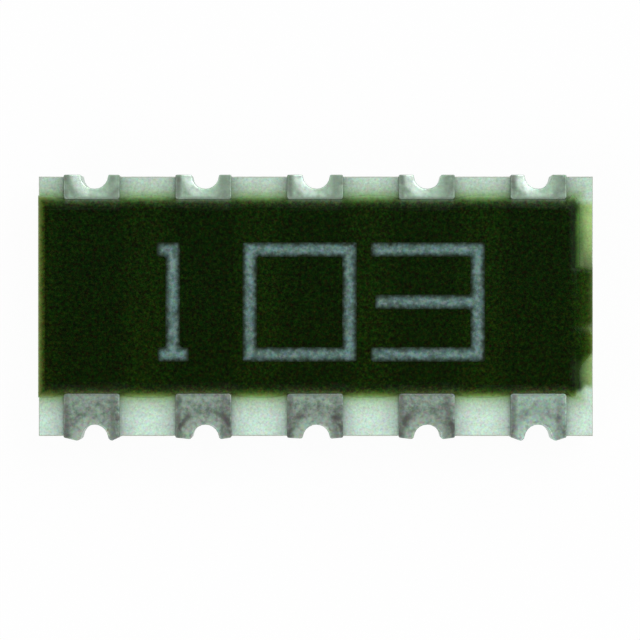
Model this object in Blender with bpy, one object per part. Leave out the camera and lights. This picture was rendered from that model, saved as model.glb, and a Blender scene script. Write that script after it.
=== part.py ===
"""Ten-terminal chip resistor network: eight thick-film resistors that share one bus.

The films are printed on a ceramic tile, covered by a dark glaze, and brought out by ten
plated caps that line half-round holes in the tile's long edges.

Sizes are in metres: e-3 reads as millimetres and e-6 as micrometres.
+X runs along the tile, +Y from the front row of pins to the back row, and +Z is up.
Z = 0 is the plane that the terminals stand on, and the tile's middle is over the origin.
Pins 1 to 5 run left to right along the front row, and 6 to 10 right to left at the back.
"""

import math

import bpy

# Ceramic tile, scored and snapped from a larger plate
TILE_END = 0.64e-3
TILE_WIDTH = 2.98e-3
TILE_THICKNESS = 0.50e-3
SCORE_DEPTH = 45e-6
SCORE_SETBACK = 16e-6
BREAK_DEPTH = 110e-6
BREAK_SETBACK = 4e-6

# Half-round holes that the snapping lines run through, a little inside their middles
PINS_PER_ROW = 5
HOLE_PITCH = 1.27e-3
HOLE_RADIUS = 0.179e-3
HOLE_SHIFT_X = 6e-6
FRONT_HOLE_OUTWARD = 20e-6
BACK_HOLE_OUTWARD = 10e-6

# The films are printed on a screen that is a little stretched and shifted
PRINT_STRETCH = 1.007
PRINT_SHIFT_X = -8e-6

# Plated caps
CAP_WIDTH = 0.642e-3
CAP_THICKNESS = 18e-6
FRONT_LIP = 25e-6
FRONT_LIP_GROWTH = 6e-6
BACK_LIP = 16e-6
CAP_SIDE_LIP = 16e-6
CAP_EDGE_RADIUS = 13e-6
CAP_CORNER_RADIUS = 30e-6
HOLE_LINING = 25e-6
UNDERSIDE_ARM = 0.50e-3
ARM_CHANGE = 85e-6
EDGE_WRAP = 85e-6
COLLAR_WIDTH = 45e-6
WINDOW_RADIUS = 30e-6

# Silver films
SILVER_THICKNESS = 12e-6
LAND_MARGIN = 22e-6
LAND_SETBACK = 30e-6
LAND_CORNER_RADIUS = 40e-6
FRONT_LAND_COVERED = 0.251e-3
BACK_LAND_COVERED = 0.361e-3
BUS_SHIFT_Y = 66e-6
BUS_WIDTH = 0.195e-3
TRUNK_WIDTH = 0.40e-3

# Resistor films and the glass over them
RESISTOR_WIDTH = 0.62e-3
RESISTOR_THICKNESS = 12e-6
LAND_OVERLAP = 76e-6
RESISTOR_SPACING = 60e-6
TRIM_WIDTH = 35e-6
TRIM_START = 0.20e-3
TRIM_PLUNGE = 0.16e-3
TRIM_LEG = 0.12e-3
TRIM_LEG_STEP = 35e-6
TRIM_LEG_KINDS = 4
GLASS_COVER = 10e-6
GLASS_SPACING = 30e-6
GLASS_END_MARGIN = 30e-6
GLASS_SIDE_MARGIN = 60e-6
GLASS_SLOPE = 8e-6
GLASS_CORNER_RADIUS = 45e-6

# Dark glaze over the films
GLAZE_FRONT_MARGIN = 0.494e-3
GLAZE_BACK_MARGIN = 0.269e-3
GLAZE_PAST_CAP = 0.144e-3
GLAZE_COVER = 22e-6
GLAZE_EDGE = 6e-6
GLAZE_SLOPE = 0.12e-3
GLAZE_BROKEN_SLOPE = 18e-6
GLAZE_CORNER_RADIUS = 80e-6
GLAZE_BLEED = 48e-6
GLAZE_BLEED_SQUARENESS = 4
GLAZE_CLEAR_OF_LAND = 6e-6
GLAZE_CLEAR_OF_CAP = 8e-6

# A tongue of glaze that ran out to the tile's right end, with a nick in it
TONGUE_FRONT_MARGIN = 0.256e-3
TONGUE_BACK_MARGIN = 0.761e-3
TONGUE_FRONT_TAPER = 0.24e-3
TONGUE_BACK_TAPER = 40e-6
TONGUE_EDGE = 40e-6
NICK_PLACE = 0.49e-3
NICK_WIDTH = 38e-6
NICK_DEPTH = 0.42

# Clearance between one film and the next
FIT_GAP = 2e-6

# How finely round stretches are divided
HOLE_STEPS = 10
EAR_STEPS = 3
CORNER_STEPS = 2
GLAZE_RINGS = 5
BLEED_STATIONS = (0.08, 0.25, 0.5, 0.75, 0.92)
TONGUE_STATIONS = 24

# How far a cutter runs past what it cuts
CUT_MARGIN = 50e-6

# Heights above the plane that the terminals stand on
TILE_BOTTOM = CAP_THICKNESS + SILVER_THICKNESS + 2 * FIT_GAP
TILE_TOP = TILE_BOTTOM + TILE_THICKNESS
FILM_BASE = TILE_TOP + FIT_GAP
SILVER_TOP = FILM_BASE + SILVER_THICKNESS
CAP_TOP = SILVER_TOP + FIT_GAP + CAP_THICKNESS
RESISTOR_TOP = SILVER_TOP + FIT_GAP + RESISTOR_THICKNESS
GLASS_TOP = RESISTOR_TOP + FIT_GAP + GLASS_COVER
GLAZE_TOP = GLASS_TOP + FIT_GAP + GLAZE_COVER

# Edges in plan
TILE_EDGE_X = (PINS_PER_ROW - 1) / 2 * HOLE_PITCH + TILE_END
TILE_EDGE_Y = TILE_WIDTH / 2
CAP_HALF_WIDTH = CAP_WIDTH / 2
LAND_HALF_WIDTH = CAP_HALF_WIDTH - LAND_MARGIN
PRINT_PITCH = HOLE_PITCH * PRINT_STRETCH
LAST_CAP_X = (PINS_PER_ROW - 1) / 2 * PRINT_PITCH + PRINT_SHIFT_X + CAP_HALF_WIDTH
GLAZE_FRONT_Y = GLAZE_FRONT_MARGIN - TILE_EDGE_Y
GLAZE_BACK_Y = TILE_EDGE_Y - GLAZE_BACK_MARGIN
GLAZE_LEFT_X = -TILE_EDGE_X
GLAZE_RIGHT_X = LAST_CAP_X + GLAZE_PAST_CAP
TONGUE_FRONT_Y = GLAZE_FRONT_Y + TONGUE_FRONT_MARGIN
TONGUE_BACK_Y = GLAZE_BACK_Y - TONGUE_BACK_MARGIN
NICK_Y = TONGUE_FRONT_Y + NICK_PLACE
BUS_FRONT_Y = BUS_SHIFT_Y - BUS_WIDTH / 2
BUS_BACK_Y = BUS_SHIFT_Y + BUS_WIDTH / 2

FRONT = -1
BACK = 1
PIN_COUNT = 2 * PINS_PER_ROW
FRONT_COMMON_PIN = PINS_PER_ROW
BACK_COMMON_PIN = PIN_COUNT


# Pins and their places

def pin_side(pin):
    return FRONT if pin <= PINS_PER_ROW else BACK


def pin_column(pin):
    return pin - 1 if pin <= PINS_PER_ROW else PIN_COUNT - pin


def column_offset(column):
    return column - (PINS_PER_ROW - 1) / 2


def hole_x(column):
    return column_offset(column) * HOLE_PITCH + HOLE_SHIFT_X


def hole_outward(side):
    """How far the holes' middles lie outside the tile's edge."""
    return BACK_HOLE_OUTWARD if side == BACK else FRONT_HOLE_OUTWARD


def ear_lip(pin):
    """How far a cap's ears stand out past the tile's edge: furthest on the front row's outer pins."""
    if pin_side(pin) == BACK:
        return BACK_LIP
    return FRONT_LIP + FRONT_LIP_GROWTH * column_offset(pin_column(pin)) ** 2


def print_x(column):
    return column_offset(column) * PRINT_PITCH + PRINT_SHIFT_X


def all_pins():
    return range(1, PIN_COUNT + 1)


def resistor_pins():
    return [pin for pin in all_pins() if pin not in (FRONT_COMMON_PIN, BACK_COMMON_PIN)]


def land_reach(side):
    """How far a top land runs in from the tile's edge, on past the edge of the glaze."""
    if side == FRONT:
        return GLAZE_FRONT_MARGIN + FRONT_LAND_COVERED
    return GLAZE_BACK_MARGIN + BACK_LAND_COVERED


def land_inner_y(side):
    return side * (TILE_EDGE_Y - land_reach(side))


# Outlines, each a list of (x, y) that runs anticlockwise

def arc(centre_x, centre_y, radius, start, end, steps):
    """Points along an arc, from one angle in degrees to another."""
    points = []
    for step in range(steps + 1):
        angle = math.radians(start + (end - start) * step / steps)
        points.append((centre_x + radius * math.cos(angle), centre_y + radius * math.sin(angle)))
    return points


def at_pin(outline, pin):
    """Places an outline drawn with the tile's edge at y = 0 and outward as +y."""
    side = pin_side(pin)
    centre_x = print_x(pin_column(pin))
    placed = [(centre_x + x, side * (TILE_EDGE_Y + y)) for x, y in outline]
    return placed if side == BACK else placed[::-1]


def hole_shift(pin):
    """How far the hole's middle lies from the middle of the printed land."""
    column = pin_column(pin)
    return hole_x(column) - print_x(column)


def hole_mouth(radius, middle_height):
    """Angle below the level of its middle, in degrees, at which a round hole meets a straight edge."""
    return math.degrees(math.asin(middle_height / radius))


def rounded_rectangle(left, right, front, back, radius, steps):
    return (
        arc(left + radius, front + radius, radius, 180, 270, steps)
        + arc(right - radius, front + radius, radius, 270, 360, steps)
        + arc(right - radius, back - radius, radius, 0, 90, steps)
        + arc(left + radius, back - radius, radius, 90, 180, steps)
    )


def tile_outline(inset):
    """The tile's rim with a half-round hole at each pin, drawn in by inset."""
    half_length = TILE_EDGE_X - inset
    edge_y = TILE_EDGE_Y - inset
    radius = HOLE_RADIUS + inset
    outward = hole_outward(FRONT)
    mouth = hole_mouth(radius, outward + inset)
    outline = [(-half_length, -edge_y)]
    for column in range(PINS_PER_ROW):
        outline += arc(hole_x(column), -TILE_EDGE_Y - outward, radius, 180 - mouth, mouth, HOLE_STEPS)
    outline += [(half_length, -edge_y), (half_length, edge_y)]
    outward = hole_outward(BACK)
    mouth = hole_mouth(radius, outward + inset)
    for column in reversed(range(PINS_PER_ROW)):
        outline += arc(hole_x(column), TILE_EDGE_Y + outward, radius, -mouth, mouth - 180, HOLE_STEPS)
    outline.append((-half_length, edge_y))
    return outline


def cap_outline(pin, arm, inset):
    """A cap's plan: an arm, two ears past the tile's edge, and the lined hole between them."""
    half_width = CAP_HALF_WIDTH
    shift = hole_shift(pin)
    outward = hole_outward(pin_side(pin))
    lined_radius = HOLE_RADIUS - HOLE_LINING
    mouth = hole_mouth(lined_radius + inset, outward)
    lip = ear_lip(pin) - inset
    side_lip = CAP_SIDE_LIP - inset
    ear = lined_radius + ear_lip(pin)
    corner = CAP_CORNER_RADIUS
    outline = arc(corner - half_width, corner - arm, corner - inset, 180, 270, CORNER_STEPS)
    outline += arc(half_width - corner, corner - arm, corner - inset, 270, 360, CORNER_STEPS)
    outline += arc(half_width - CAP_SIDE_LIP, 0, side_lip, 0, 90, CORNER_STEPS)
    outline += arc(shift + ear, 0, lip, 90, 180, EAR_STEPS)
    outline += arc(shift, outward, lined_radius + inset, -mouth, mouth - 180, HOLE_STEPS)[1:-1]
    outline += arc(shift - ear, 0, lip, 0, 90, EAR_STEPS)
    outline += arc(CAP_SIDE_LIP - half_width, 0, side_lip, 90, 180, CORNER_STEPS)
    return at_pin(outline, pin)


def land_outline(pin, reach, grow):
    """A silver land: open on its inner side, round the hole on its outer side."""
    half_width = LAND_HALF_WIDTH + grow
    setback = LAND_SETBACK - grow
    outward = hole_outward(pin_side(pin))
    radius = HOLE_RADIUS + LAND_SETBACK - grow
    mouth = hole_mouth(radius, outward + setback)
    corner = LAND_CORNER_RADIUS
    inner = corner - reach - grow
    outline = arc(half_width - corner, inner, corner, 270, 360, CORNER_STEPS)
    outline.append((half_width, -setback))
    outline += arc(hole_shift(pin), outward, radius, -mouth, mouth - 180, HOLE_STEPS)
    outline.append((-half_width, -setback))
    outline += arc(corner - half_width, inner, corner, 180, 270, CORNER_STEPS)
    return at_pin(outline, pin)


def bus_outline(grow):
    """The common conductor: both common lands, a trunk from each, and the bar between them."""
    trunk = TRUNK_WIDTH / 2 + grow
    first_x = print_x(0)
    last_x = print_x(PINS_PER_ROW - 1)
    back_y = land_inner_y(BACK) - grow
    front_y = land_inner_y(FRONT) + grow
    outline = land_outline(BACK_COMMON_PIN, land_reach(BACK), grow)
    outline += [(first_x - trunk, back_y), (first_x - trunk, BUS_FRONT_Y - grow)]
    outline += [(last_x - trunk, BUS_FRONT_Y - grow), (last_x - trunk, front_y)]
    outline += land_outline(FRONT_COMMON_PIN, land_reach(FRONT), grow)
    outline += [(last_x + trunk, front_y), (last_x + trunk, BUS_BACK_Y + grow)]
    outline += [(first_x + trunk, BUS_BACK_Y + grow), (first_x + trunk, back_y)]
    return outline


def resistor_span(pin):
    """The front and back edges of the bare ceramic that a resistor bridges."""
    if pin_side(pin) == FRONT:
        return land_inner_y(FRONT), BUS_FRONT_Y
    return BUS_BACK_Y, land_inner_y(BACK)


def resistor_ends(pin):
    front, back = resistor_span(pin)
    bus_overlap = (BUS_WIDTH - RESISTOR_SPACING) / 2
    if pin_side(pin) == FRONT:
        return front - LAND_OVERLAP, back + bus_overlap
    return front - bus_overlap, back + LAND_OVERLAP


def resistor_profile(pin, grow):
    """Front-to-back section: flat on the ceramic, and stepped up over the silver at each end."""
    front, back = resistor_span(pin)
    front_end, back_end = resistor_ends(pin)
    raised = SILVER_TOP + FIT_GAP
    low_top = FILM_BASE + RESISTOR_THICKNESS + grow
    high_top = RESISTOR_TOP + grow
    step = FIT_GAP + RESISTOR_THICKNESS
    top = [
        (back_end + grow, high_top),
        (back - step - grow, high_top),
        (back - 2 * step - grow, low_top),
        (front + 2 * step + grow, low_top),
        (front + step + grow, high_top),
        (front_end - grow, high_top),
    ]
    if grow:
        floor = FILM_BASE - CUT_MARGIN
        return [(front_end - grow, floor), (back_end + grow, floor)] + top
    bottom = [
        (front_end, raised),
        (front + FIT_GAP, raised),
        (front + FIT_GAP, FILM_BASE),
        (back - FIT_GAP, FILM_BASE),
        (back - FIT_GAP, raised),
        (back_end, raised),
    ]
    return bottom + top


def glass_outline(pin, inset):
    front_end, back_end = resistor_ends(pin)
    bus_margin = (RESISTOR_SPACING - GLASS_SPACING) / 2
    if pin_side(pin) == FRONT:
        front = front_end - GLASS_END_MARGIN
        back = back_end + bus_margin
    else:
        front = front_end - bus_margin
        back = back_end + GLASS_END_MARGIN
    centre_x = print_x(pin_column(pin))
    half_width = RESISTOR_WIDTH / 2 + GLASS_SIDE_MARGIN - inset
    return rounded_rectangle(
        centre_x - half_width,
        centre_x + half_width,
        front + inset,
        back - inset,
        GLASS_CORNER_RADIUS,
        CORNER_STEPS,
    )


def trim_outline(pin):
    """The L-shaped laser cut that trims one resistor, entering from its right side."""
    front_end, back_end = resistor_ends(pin)
    centre_x = print_x(pin_column(pin))
    leg = TRIM_LEG + TRIM_LEG_STEP * (pin % TRIM_LEG_KINDS)
    mouth_x = centre_x + RESISTOR_WIDTH / 2 + GLASS_SIDE_MARGIN + CUT_MARGIN
    inner_x = centre_x + RESISTOR_WIDTH / 2 - TRIM_PLUNGE
    start_y = (front_end + back_end) / 2 - TRIM_START / 2
    end_y = start_y + TRIM_WIDTH + leg
    return [
        (mouth_x, start_y),
        (mouth_x, start_y + TRIM_WIDTH),
        (inner_x + TRIM_WIDTH, start_y + TRIM_WIDTH),
        (inner_x + TRIM_WIDTH, end_y),
        (inner_x, end_y),
        (inner_x, start_y),
    ]


# The glaze's rim, as stations of (x, y, outflow, edge)
# Outflow is the way that the thin edge of the glaze ran, as (x, y) distances.
# Edge is the rim's height above the ceramic: more where it lies on a silver land, or was snapped with the tile.

def bump(share):
    """Rises fast from 0, stays near 1 and falls fast to 0 at a share of 1."""
    return 1 - (2 * share - 1) ** GLAZE_BLEED_SQUARENESS


def smooth(share):
    """Eases from 0 to 1, and stays there."""
    share = min(max(share, 0), 1)
    return share * share * (3 - 2 * share)


def glaze_row(side):
    """Stations from left to right along one row of lands."""
    edge_y = GLAZE_BACK_Y if side == BACK else GLAZE_FRONT_Y
    land = LAND_HALF_WIDTH + GLAZE_CLEAR_OF_LAND
    cap = CAP_HALF_WIDTH + GLAZE_CLEAR_OF_CAP
    land_step = SILVER_THICKNESS + FIT_GAP
    gap = PRINT_PITCH - 2 * cap
    corner_x = GLAZE_RIGHT_X - GLAZE_CORNER_RADIUS
    bleed = (0, side * GLAZE_BLEED)
    still = (0, 0)
    on_land = GLAZE_EDGE + land_step
    beside_land = GLAZE_EDGE + land_step / 2
    stations = [(GLAZE_LEFT_X, edge_y, bleed, GLAZE_EDGE)]
    stations.append(((GLAZE_LEFT_X + print_x(0) - cap) / 2, edge_y, bleed, GLAZE_EDGE))
    for column in range(PINS_PER_ROW):
        centre = print_x(column)
        for offset, edge in ((-cap, beside_land), (-land, on_land), (land, on_land), (cap, beside_land)):
            stations.append((centre + offset, edge_y, still, edge))
        if column < PINS_PER_ROW - 1:
            for share in BLEED_STATIONS:
                outflow = (0, side * GLAZE_BLEED * bump(share))
                stations.append((centre + cap + gap * share, edge_y, outflow, GLAZE_EDGE))
    middle_x = (print_x(PINS_PER_ROW - 1) + cap + corner_x) / 2
    stations.append((middle_x, edge_y, (0, side * GLAZE_BLEED * smooth(0.5)), GLAZE_EDGE))
    return stations


def glaze_corner(side):
    edge_y = GLAZE_BACK_Y if side == BACK else GLAZE_FRONT_Y
    radius = GLAZE_CORNER_RADIUS
    quarter = arc(GLAZE_RIGHT_X - radius, edge_y - side * radius, radius, side * 90, 0, EAR_STEPS)
    stations = []
    for step, (x, y) in enumerate(quarter):
        stations.append((x, y, (0, side * GLAZE_BLEED * (1 - step / EAR_STEPS)), GLAZE_EDGE))
    return stations


def tongue_share(y):
    """How much of the way to the tile's end the tongue ran: all of it, less the tapers and the nick."""
    front = smooth((y - TONGUE_FRONT_Y) / TONGUE_FRONT_TAPER)
    back = smooth((TONGUE_BACK_Y - y) / TONGUE_BACK_TAPER)
    nick = 1 - NICK_DEPTH * math.exp(-(((y - NICK_Y) / NICK_WIDTH) ** 2))
    return front * back * nick


def glaze_tongue():
    reach = TILE_EDGE_X - SCORE_SETBACK - GLAZE_RIGHT_X
    stations = []
    for step in range(TONGUE_STATIONS + 1):
        y = TONGUE_FRONT_Y + (TONGUE_BACK_Y - TONGUE_FRONT_Y) * step / TONGUE_STATIONS
        share = tongue_share(y)
        edge = GLAZE_EDGE + (TONGUE_EDGE - GLAZE_EDGE) * share
        stations.append((GLAZE_RIGHT_X, y, (reach * share, 0), edge))
    return stations


def glaze_stations():
    """The whole rim, anticlockwise from its front left corner."""
    front = glaze_row(FRONT) + glaze_corner(FRONT)
    back = glaze_row(BACK) + glaze_corner(BACK)
    return front + glaze_tongue() + back[::-1]


def glaze_ring(share):
    """The rim drawn in by a share of its slope, as points in space."""
    inset = GLAZE_SLOPE * share
    rise = math.sin(share * math.pi / 2)
    left_x = GLAZE_LEFT_X + GLAZE_BROKEN_SLOPE * share
    middle_y = (GLAZE_FRONT_Y + GLAZE_BACK_Y) / 2
    half_width = (GLAZE_BACK_Y - GLAZE_FRONT_Y) / 2
    narrowed_x = (GLAZE_RIGHT_X - inset - left_x) / (GLAZE_RIGHT_X - GLAZE_LEFT_X)
    narrowed_y = (half_width - inset) / half_width
    ring = []
    for x, y, (flow_x, flow_y), edge in glaze_stations():
        ring_x = left_x + (x - GLAZE_LEFT_X) * narrowed_x + flow_x * (1 - share) ** 2
        ring_y = middle_y + (y - middle_y) * narrowed_y + flow_y * (1 - share)
        ring.append((ring_x, ring_y, FILM_BASE + edge + (GLAZE_TOP - FILM_BASE - edge) * rise))
    return ring


# Meshes and objects

def clear_scene():
    for item in list(bpy.data.objects):
        bpy.data.objects.remove(item, do_unlink=True)


def make_material(name, colour, roughness, metallic):
    material = bpy.data.materials.new(name)
    material.use_nodes = True
    shader = material.node_tree.nodes["Principled BSDF"]
    shader.inputs["Base Color"].default_value = (*colour, 1)
    shader.inputs["Roughness"].default_value = roughness
    shader.inputs["Metallic"].default_value = metallic
    material.diffuse_color = (*colour, 1)
    return material


def make_object(name, points, faces, material=None):
    mesh = bpy.data.meshes.new(name)
    mesh.from_pydata(points, [], faces)
    mesh.update()
    item = bpy.data.objects.new(name, mesh)
    bpy.context.scene.collection.objects.link(item)
    if material:
        mesh.materials.append(material)
    return item


def loft(rings, start):
    """Points and faces of a body skinned over rings that run anticlockwise from bottom to top."""
    count = len(rings[0])
    points = [point for ring in rings for point in ring]
    faces = [tuple(start + index for index in reversed(range(count)))]
    for level in range(len(rings) - 1):
        lower = start + level * count
        upper = lower + count
        for index in range(count):
            after = (index + 1) % count
            faces.append((lower + index, lower + after, upper + after, upper + index))
    last = start + (len(rings) - 1) * count
    faces.append(tuple(last + index for index in range(count)))
    return points, faces


def lofts_object(name, bodies, material=None):
    """One object that holds one or more lofted bodies."""
    points = []
    faces = []
    for rings in bodies:
        more_points, more_faces = loft(rings, len(points))
        points += more_points
        faces += more_faces
    return make_object(name, points, faces, material)


def at_height(outline, height):
    return [(x, y, height) for x, y in outline]


def prism(outline, bottom, top):
    return [at_height(outline, bottom), at_height(outline, top)]


def across(profile, left, right):
    """Rings of a body whose (y, z) section, seen from +X, runs from left to right."""
    return [[(x, y, z) for y, z in profile] for x in (left, right)]


def facing(outline, inner_y, outer_y):
    """Rings of a body whose (x, z) outline runs from one Y to a larger one."""
    return [[(x, y, z) for x, z in reversed(outline)] for y in (inner_y, outer_y)]


def make_cutter(name, bodies):
    cutter = lofts_object(name, bodies)
    cutter.hide_render = True
    cutter.display_type = 'WIRE'
    return cutter


def cut(item, cutter):
    modifier = item.modifiers.new(cutter.name, 'BOOLEAN')
    modifier.operation = 'DIFFERENCE'
    modifier.solver = 'EXACT'
    modifier.object = cutter


# Bodies of each sub-part, as rings

def tile_rings(grow):
    """Scored bevels at the top and bottom, with the rougher break standing proud between."""
    levels = [
        (TILE_BOTTOM - grow, SCORE_SETBACK),
        (TILE_BOTTOM + SCORE_DEPTH, BREAK_SETBACK),
        (TILE_BOTTOM + BREAK_DEPTH, 0),
        (TILE_TOP - BREAK_DEPTH, 0),
        (TILE_TOP - SCORE_DEPTH, BREAK_SETBACK),
        (TILE_TOP + grow, SCORE_SETBACK),
    ]
    return [at_height(tile_outline(inset - grow), height) for height, inset in levels]


def land_rings(pin, grow):
    outline = land_outline(pin, land_reach(pin_side(pin)), grow)
    return prism(outline, FILM_BASE - grow, SILVER_TOP + grow)


def bus_rings(grow):
    return prism(bus_outline(grow), FILM_BASE - grow, SILVER_TOP + grow)


def bottom_land_rings(pin, grow):
    outline = land_outline(pin, UNDERSIDE_ARM - LAND_MARGIN, grow)
    top = TILE_BOTTOM - FIT_GAP
    return prism(outline, top - SILVER_THICKNESS - grow, top + grow)


def cap_top_arm(side):
    """How far a cap's upper arm reaches in from the tile's edge, to the glaze."""
    margin = GLAZE_BACK_MARGIN if side == BACK else GLAZE_FRONT_MARGIN
    return margin - FIT_GAP


def cap_rings(pin):
    """The cap's outer skin, whose arms change length inside the tile."""
    top_arm = cap_top_arm(pin_side(pin))
    radius = CAP_EDGE_RADIUS
    eased = radius * (1 - math.cos(math.radians(45)))
    middle = (TILE_BOTTOM + TILE_TOP) / 2
    levels = [
        (0, UNDERSIDE_ARM, radius),
        (radius, UNDERSIDE_ARM, 0),
        (middle - ARM_CHANGE, UNDERSIDE_ARM, 0),
        (middle + ARM_CHANGE, top_arm, 0),
        (CAP_TOP - radius, top_arm, 0),
        (CAP_TOP - eased, top_arm, eased),
        (CAP_TOP, top_arm, radius),
    ]
    return [at_height(cap_outline(pin, arm, inset), height) for height, arm, inset in levels]


def window_rings(pin, direction):
    """The bare ceramic beside a lined hole, between the plating that wraps each long edge."""
    centre = hole_x(pin_column(pin))
    near = centre + direction * (HOLE_RADIUS + COLLAR_WIDTH)
    far = print_x(pin_column(pin)) + direction * (CAP_HALF_WIDTH + CUT_MARGIN)
    outline = rounded_rectangle(
        min(near, far),
        max(near, far),
        TILE_BOTTOM + EDGE_WRAP,
        TILE_TOP - EDGE_WRAP,
        WINDOW_RADIUS,
        EAR_STEPS,
    )
    inner_y = TILE_EDGE_Y - CUT_MARGIN
    outer_y = TILE_EDGE_Y + ear_lip(pin) + CUT_MARGIN
    if pin_side(pin) == FRONT:
        return facing(outline, -outer_y, -inner_y)
    return facing(outline, inner_y, outer_y)


def resistor_rings(pin, grow):
    centre_x = print_x(pin_column(pin))
    half_width = RESISTOR_WIDTH / 2 + grow
    return across(resistor_profile(pin, grow), centre_x - half_width, centre_x + half_width)


def glass_rings(pin, grow):
    floor = FILM_BASE - CUT_MARGIN if grow else FILM_BASE
    shoulder = (RESISTOR_TOP + FILM_BASE) / 2
    return [
        at_height(glass_outline(pin, -grow), floor),
        at_height(glass_outline(pin, -grow), shoulder),
        at_height(glass_outline(pin, GLASS_SLOPE - grow), GLASS_TOP + grow),
    ]


def trim_rings(pin):
    return prism(trim_outline(pin), FILM_BASE - CUT_MARGIN, GLASS_TOP + CUT_MARGIN)


def glaze_rings():
    rim = glaze_ring(0)
    rings = [[(x, y, FILM_BASE) for x, y, z in rim], rim]
    for step in range(1, GLAZE_RINGS + 1):
        rings.append(glaze_ring(step / GLAZE_RINGS))
    return rings


# Sub-parts

def build_tile(material):
    lofts_object("ceramic_substrate", [tile_rings(0)], material)


def build_conductors(material):
    for pin in resistor_pins():
        lofts_object(f"top_land_{pin:02d}", [land_rings(pin, 0)], material)
    lofts_object("bus_conductor", [bus_rings(0)], material)
    for pin in all_pins():
        lofts_object(f"bottom_land_{pin:02d}", [bottom_land_rings(pin, 0)], material)


def build_resistors(resistor_material, glass_material, cutters):
    for pin in resistor_pins():
        resistor = lofts_object(f"resistor_element_{pin:02d}", [resistor_rings(pin, 0)], resistor_material)
        cut(resistor, cutters["trim"])
        glass = lofts_object(f"glass_precoat_{pin:02d}", [glass_rings(pin, 0)], glass_material)
        cut(glass, cutters["conductor"])
        cut(glass, cutters["resistor"])
        cut(glass, cutters["trim"])


def build_glaze(material, cutters):
    glaze = lofts_object("overcoat", [glaze_rings()], material)
    cut(glaze, cutters["conductor"])
    cut(glaze, cutters["glass"])


def build_caps(material, cutters):
    for pin in all_pins():
        cap = lofts_object(f"terminal_{pin:02d}", [cap_rings(pin)], material)
        cut(cap, cutters["tile"])
        cut(cap, cutters["conductor"])
        cut(cap, cutters["bottom_land"])
        cut(cap, cutters["window"])


def build_cutters():
    """Each film's space, grown by the clearance, which is cut from whatever lies over it."""
    pins = resistor_pins()
    conductors = [land_rings(pin, FIT_GAP) for pin in pins] + [bus_rings(FIT_GAP)]
    bottom_lands = [bottom_land_rings(pin, FIT_GAP) for pin in all_pins()]
    windows = [window_rings(pin, way) for pin in all_pins() for way in (-1, 1)]
    return {
        "tile": make_cutter("tile_clearance", [tile_rings(FIT_GAP)]),
        "conductor": make_cutter("conductor_clearance", conductors),
        "bottom_land": make_cutter("bottom_land_clearance", bottom_lands),
        "resistor": make_cutter("resistor_clearance", [resistor_rings(pin, FIT_GAP) for pin in pins]),
        "glass": make_cutter("glass_clearance", [glass_rings(pin, FIT_GAP) for pin in pins]),
        "trim": make_cutter("laser_trim_cuts", [trim_rings(pin) for pin in pins]),
        "window": make_cutter("bare_edge_windows", windows),
    }


def main():
    clear_scene()
    ceramic = make_material("alumina_ceramic", (0.60, 0.64, 0.58), 0.55, 0.0)
    silver = make_material("silver_film", (0.62, 0.60, 0.57), 0.45, 0.9)
    resistive = make_material("resistor_film", (0.03, 0.03, 0.03), 0.6, 0.0)
    glass = make_material("precoat_glass", (0.07, 0.14, 0.08), 0.25, 0.0)
    glaze = make_material("dark_green_glaze", (0.008, 0.014, 0.005), 0.3, 0.0)
    tin = make_material("matte_tin", (0.32, 0.36, 0.32), 0.5, 0.7)
    cutters = build_cutters()
    build_tile(ceramic)
    build_conductors(silver)
    build_resistors(resistive, glass, cutters)
    build_glaze(glaze, cutters)
    build_caps(tin, cutters)


main()
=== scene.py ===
import math

import bmesh
import bpy
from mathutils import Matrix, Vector, noise
from mathutils.geometry import tessellate_polygon


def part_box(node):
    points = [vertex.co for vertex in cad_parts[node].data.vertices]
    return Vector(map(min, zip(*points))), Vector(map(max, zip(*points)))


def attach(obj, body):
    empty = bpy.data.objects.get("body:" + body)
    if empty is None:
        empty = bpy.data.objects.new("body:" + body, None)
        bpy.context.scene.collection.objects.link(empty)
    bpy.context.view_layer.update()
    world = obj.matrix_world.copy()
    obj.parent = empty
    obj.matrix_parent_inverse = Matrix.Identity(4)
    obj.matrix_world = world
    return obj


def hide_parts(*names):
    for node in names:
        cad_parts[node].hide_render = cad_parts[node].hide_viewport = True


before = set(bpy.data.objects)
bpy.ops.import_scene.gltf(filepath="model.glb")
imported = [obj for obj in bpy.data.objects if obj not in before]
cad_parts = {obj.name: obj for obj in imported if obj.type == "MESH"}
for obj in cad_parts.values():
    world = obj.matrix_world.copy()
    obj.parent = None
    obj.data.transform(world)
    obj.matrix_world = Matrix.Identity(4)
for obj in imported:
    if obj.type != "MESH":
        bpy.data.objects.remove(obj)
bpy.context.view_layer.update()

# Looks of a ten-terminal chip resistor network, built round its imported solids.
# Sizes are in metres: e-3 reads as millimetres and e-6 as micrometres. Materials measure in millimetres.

# The photograph's frame: a square image, and the pixel that the tile's middle falls on
IMAGE_PIXELS = 640
PIXELS_PER_METRE = 87.3e3
TILE_MIDDLE_PIXEL_X = 315.8
TILE_MIDDLE_PIXEL_Y = 306.25
LENS_MM = 200
SENSOR_MM = 36

# Two softboxes: where each stands, and how bright it is
LAMP_DISTANCE = 0.12
LAMP_SIZE = 0.09
KEY_DIRECTION = (0.60, 0.62, 0.80)
KEY_RADIANCE = 2.3
FILL_DIRECTION = (-0.70, -0.55, 0.75)
FILL_RADIANCE = 1.1

# The tent's dim opening: the upward parts of a direction where it starts and where it is full, and its light
OPENING_STARTS = 0.62
OPENING_FULL = 0.88
OPENING_LIGHT = 0.08

# The floor's own shade, and how much of it looks plainly white
FLOOR_SHADE = 0.92
FLOOR_GLOW = 0.95

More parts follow.
